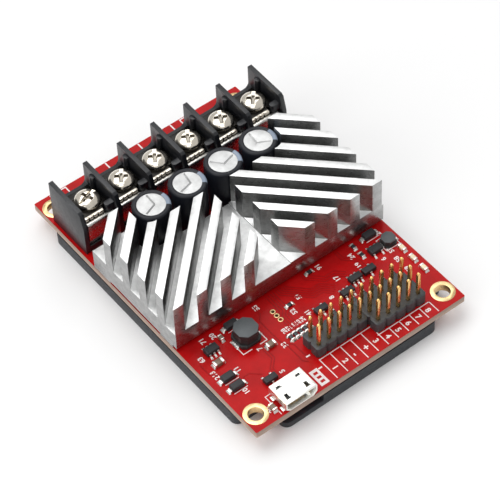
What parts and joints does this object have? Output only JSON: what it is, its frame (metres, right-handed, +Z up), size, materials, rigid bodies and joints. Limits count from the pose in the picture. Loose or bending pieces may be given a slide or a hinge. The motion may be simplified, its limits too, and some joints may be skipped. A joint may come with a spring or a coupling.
{
  "type": "two-channel motor driver module",
  "caption": "Red motor driver board on a moulded cover, with a diagonally finned heatsink, screw terminal block, capacitors, pin headers and a small USB socket.",
  "frame": {"origin": "under the middle of the board, on the plane that the bottom cover rests on", "axes": "+X across the board towards the status lights, +Y along the board from the USB socket to the terminal block, +Z up from the cover to the fins"},
  "size_m": [0.052, 0.074, 0.0181],
  "materials": {
    "cover_plastic": "moulded, light grain",
    "board_laminate": "glossy solder mask",
    "gold_plating": "flat gold plating",
    "heatsink_aluminium": "machined, cleaned, fine grain",
    "black_steel": "black oxide",
    "thermal_rubber": "soft pad",
    "chip_plastic": "moulded epoxy",
    "shunt_metal": "dull alloy",
    "seal_rubber": "moulded",
    "terminal_plastic": "satin, as moulded",
    "header_plastic": "satin, as moulded",
    "pin_gold": "bright gold flash",
    "socket_steel": "tin plated sheet",
    "solder_tin": "dull tin",
    "capacitor_ceramic": "fired",
    "resistor_black": "glazed",
    "led_lens": "cloudy resin",
    "ferrite": "pressed ferrite",
    "can_aluminium": "drawn, satin",
    "sleeve_plastic": "shrunk film",
    "contact_tin": "bright tin",
    "clamp_nickel": "nickel plated"
  },
  "bodies": {
    "root": {"bottom_cover": "cover_plastic", "capacitor_bungs": "seal_rubber", "capacitor_can_1": "can_aluminium", "capacitor_can_2": "can_aluminium", "capacitor_can_3": "can_aluminium", "capacitor_can_4": "can_aluminium", "capacitor_sleeve_1": "sleeve_plastic", "capacitor_sleeve_2": "sleeve_plastic", "capacitor_sleeve_3": "sleeve_plastic", "capacitor_sleeve_4": "sleeve_plastic", "ceramic_capacitors": "capacitor_ceramic", "chip_end_caps": "solder_tin", "chip_resistors": "resistor_black", "circuit_board": "board_laminate", "current_shunts": "shunt_metal", "diode_end_caps": "solder_tin", "diodes": "chip_plastic", "encoder_header_housing": "header_plastic", "encoder_header_pins": "pin_gold", "filter_inductor": "ferrite", "fixing_screws": "black_steel", "gate_drivers": "chip_plastic", "heatsink": "heatsink_aluminium", "inductor_feet": "solder_tin", "microcontroller": "chip_plastic", "mounting_hole_rings": "gold_plating", "power_inductor": "ferrite", "power_transistors": "chip_plastic", "signal_header_housing": "header_plastic", "signal_header_pins": "pin_gold", "small_chip_feet": "solder_tin", "small_chips": "chip_plastic", "status_leds": "led_lens", "terminal_contact_1": "contact_tin", "terminal_contact_2": "contact_tin", "terminal_contact_3": "contact_tin", "terminal_contact_4": "contact_tin", "terminal_contact_5": "contact_tin", "terminal_contact_6": "contact_tin", "terminal_housing": "terminal_plastic", "test_hole_rings": "gold_plating", "thermal_pad": "thermal_rubber", "usb_contacts": "pin_gold", "usb_shell": "socket_steel", "usb_tongue": "header_plastic"},
    "wire_clamp_1": {"wire_clamp_1": "clamp_nickel"},
    "clamp_screw_1": {"clamp_screw_1": "clamp_nickel"},
    "wire_clamp_2": {"wire_clamp_2": "clamp_nickel"},
    "clamp_screw_2": {"clamp_screw_2": "clamp_nickel"},
    "wire_clamp_3": {"wire_clamp_3": "clamp_nickel"},
    "clamp_screw_3": {"clamp_screw_3": "clamp_nickel"},
    "wire_clamp_4": {"wire_clamp_4": "clamp_nickel"},
    "clamp_screw_4": {"clamp_screw_4": "clamp_nickel"},
    "wire_clamp_5": {"wire_clamp_5": "clamp_nickel"},
    "clamp_screw_5": {"clamp_screw_5": "clamp_nickel"},
    "wire_clamp_6": {"wire_clamp_6": "clamp_nickel"},
    "clamp_screw_6": {"clamp_screw_6": "clamp_nickel"}
  },
  "joints": [
    {"name": "clamp_lift_1", "type": "slide", "parent": "root", "child": "wire_clamp_1", "axis": [0, 0, 1], "range_m": [0, 0.0025]},
    {"name": "screw_turn_1", "type": "hinge", "parent": "wire_clamp_1", "child": "clamp_screw_1", "pos_m": [-0.0207, 0.02421, 0.01345], "axis": [0, 0, 1], "range_deg": [0, 1800]},
    {"name": "clamp_lift_2", "type": "slide", "parent": "root", "child": "wire_clamp_2", "axis": [0, 0, 1], "range_m": [0, 0.0025]},
    {"name": "screw_turn_2", "type": "hinge", "parent": "wire_clamp_2", "child": "clamp_screw_2", "pos_m": [-0.0123, 0.02421, 0.01345], "axis": [0, 0, 1], "range_deg": [0, 1800]},
    {"name": "clamp_lift_3", "type": "slide", "parent": "root", "child": "wire_clamp_3", "axis": [0, 0, 1], "range_m": [0, 0.0025]},
    {"name": "screw_turn_3", "type": "hinge", "parent": "wire_clamp_3", "child": "clamp_screw_3", "pos_m": [-0.0039, 0.02421, 0.01345], "axis": [0, 0, 1], "range_deg": [0, 1800]},
    {"name": "clamp_lift_4", "type": "slide", "parent": "root", "child": "wire_clamp_4", "axis": [0, 0, 1], "range_m": [0, 0.0025]},
    {"name": "screw_turn_4", "type": "hinge", "parent": "wire_clamp_4", "child": "clamp_screw_4", "pos_m": [0.0045, 0.02421, 0.01345], "axis": [0, 0, 1], "range_deg": [0, 1800]},
    {"name": "clamp_lift_5", "type": "slide", "parent": "root", "child": "wire_clamp_5", "axis": [0, 0, 1], "range_m": [0, 0.0025]},
    {"name": "screw_turn_5", "type": "hinge", "parent": "wire_clamp_5", "child": "clamp_screw_5", "pos_m": [0.0129, 0.02421, 0.01345], "axis": [0, 0, 1], "range_deg": [0, 1800]},
    {"name": "clamp_lift_6", "type": "slide", "parent": "root", "child": "wire_clamp_6", "axis": [0, 0, 1], "range_m": [0, 0.0025]},
    {"name": "screw_turn_6", "type": "hinge", "parent": "wire_clamp_6", "child": "clamp_screw_6", "pos_m": [0.0213, 0.02421, 0.01345], "axis": [0, 0, 1], "range_deg": [0, 1800]}
  ],
  "couplings": [
    {"joint": "screw_turn_1", "follows": "clamp_lift_1", "rad_per_m": 12566},
    {"joint": "screw_turn_2", "follows": "clamp_lift_2", "rad_per_m": 12566},
    {"joint": "screw_turn_3", "follows": "clamp_lift_3", "rad_per_m": 12566},
    {"joint": "screw_turn_4", "follows": "clamp_lift_4", "rad_per_m": 12566},
    {"joint": "screw_turn_5", "follows": "clamp_lift_5", "rad_per_m": 12566},
    {"joint": "screw_turn_6", "follows": "clamp_lift_6", "rad_per_m": 12566}
  ]
}
